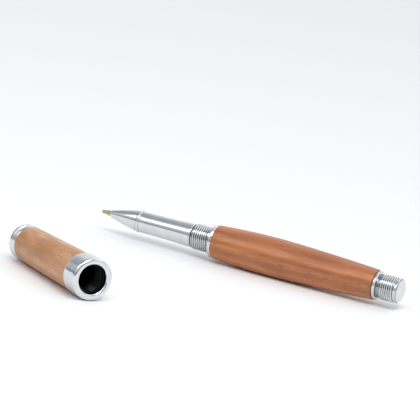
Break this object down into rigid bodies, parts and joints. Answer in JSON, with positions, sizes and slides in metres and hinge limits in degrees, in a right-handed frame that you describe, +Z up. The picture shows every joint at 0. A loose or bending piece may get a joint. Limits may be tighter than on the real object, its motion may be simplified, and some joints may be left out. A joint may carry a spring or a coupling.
{
  "type": "rollerball pen",
  "caption": "Turned-wood rollerball pen on chrome fittings, with its screw-on wood cap lying beside it, mouth open.",
  "frame": {"origin": "centre of the bounding box at table level", "axes": "+Z up from the table; +X along the loose cap towards its mouth; the pen lies level, its ball pointing towards -X and -Y"},
  "size_m": [0.1176, 0.1558, 0.0172],
  "materials": {
    "barrel_wood": "reddish-brown turned timber with fine long grain, satin gloss",
    "barrel_tube": "plain drawn brass",
    "front_coupler": "polished chrome plate",
    "rear_bushing": "turned brass",
    "rear_trim_ring": "polished chrome plate",
    "posting_end_cap": "polished chrome plate",
    "refill_spring": "bright spring wire",
    "bead_ring": "polished chrome plate",
    "grip_section": "polished chrome plate",
    "nib_cone": "polished chrome plate",
    "refill_tube": "plain white plastic",
    "refill_end_plug": "black plastic",
    "ink_core": "ink-soaked fibre",
    "refill_nose": "black plastic",
    "feed_rod": "porous fibre rod",
    "refill_tip": "turned brass, satin",
    "rolling_ball": "polished hard metal",
    "cap_wood": "paler pinkish-brown turned timber with blotchy figure, satin gloss",
    "cap_tube": "plain drawn brass",
    "cap_lip_ring": "polished chrome plate",
    "cap_thread_insert": "black plastic, slight gloss",
    "cap_inner_liner": "black plastic",
    "cap_top_bushing": "turned brass",
    "cap_top_ring": "polished chrome plate",
    "finial": "polished chrome plate",
    "finial_screw": "plain steel"
  },
  "bodies": {
    "barrel": {"barrel_wood": "barrel_wood", "barrel_tube": "barrel_tube", "front_coupler": "front_coupler", "rear_bushing": "rear_bushing", "rear_trim_ring": "rear_trim_ring", "posting_end_cap": "posting_end_cap", "refill_spring": "refill_spring"},
    "section_carrier": {"bead_ring": "bead_ring"},
    "section": {"grip_section": "grip_section", "nib_cone": "nib_cone"},
    "refill": {"refill_tube": "refill_tube", "refill_end_plug": "refill_end_plug", "ink_core": "ink_core", "refill_nose": "refill_nose", "feed_rod": "feed_rod", "refill_tip": "refill_tip"},
    "ball": {"rolling_ball": "rolling_ball"},
    "cap": {"cap_wood": "cap_wood", "cap_tube": "cap_tube", "cap_lip_ring": "cap_lip_ring", "cap_thread_insert": "cap_thread_insert", "cap_inner_liner": "cap_inner_liner", "cap_top_bushing": "cap_top_bushing", "cap_top_ring": "cap_top_ring", "finial": "finial", "finial_screw": "finial_screw"}
  },
  "joints": [
    {"name": "cap_swing", "type": "hinge", "parent": "barrel", "child": "cap", "pos_m": [-0.08546, -0.21634, 0.01743], "axis": [0.0146, 0.045, 0.9989], "range_deg": [0, 38.23]},
    {"name": "section_draw", "type": "slide", "parent": "barrel", "child": "section_carrier", "axis": [-0.7861, -0.6181, 0], "range_m": [0, 0.006]},
    {"name": "section_turn", "type": "hinge", "parent": "section_carrier", "child": "section", "pos_m": [0.04621, 0.07434, 0.0079], "axis": [-0.7861, -0.6181, 0], "range_deg": [0, 1440]},
    {"name": "refill_push", "type": "slide", "parent": "section_carrier", "child": "refill", "axis": [-0.7861, -0.6181, 0], "range_m": [-0.001, 0], "stiffness_N_per_m": 150, "springref_m": 0.004},
    {"name": "ball_roll", "type": "hinge", "parent": "refill", "child": "ball", "pos_m": [-0.05837, -0.0079, 0.0079], "axis": [-0.6181, 0.7861, 0], "continuous": true}
  ],
  "couplings": [
    {"joint": "section_turn", "follows": "section_draw", "rad_per_m": 4188.8}
  ]
}
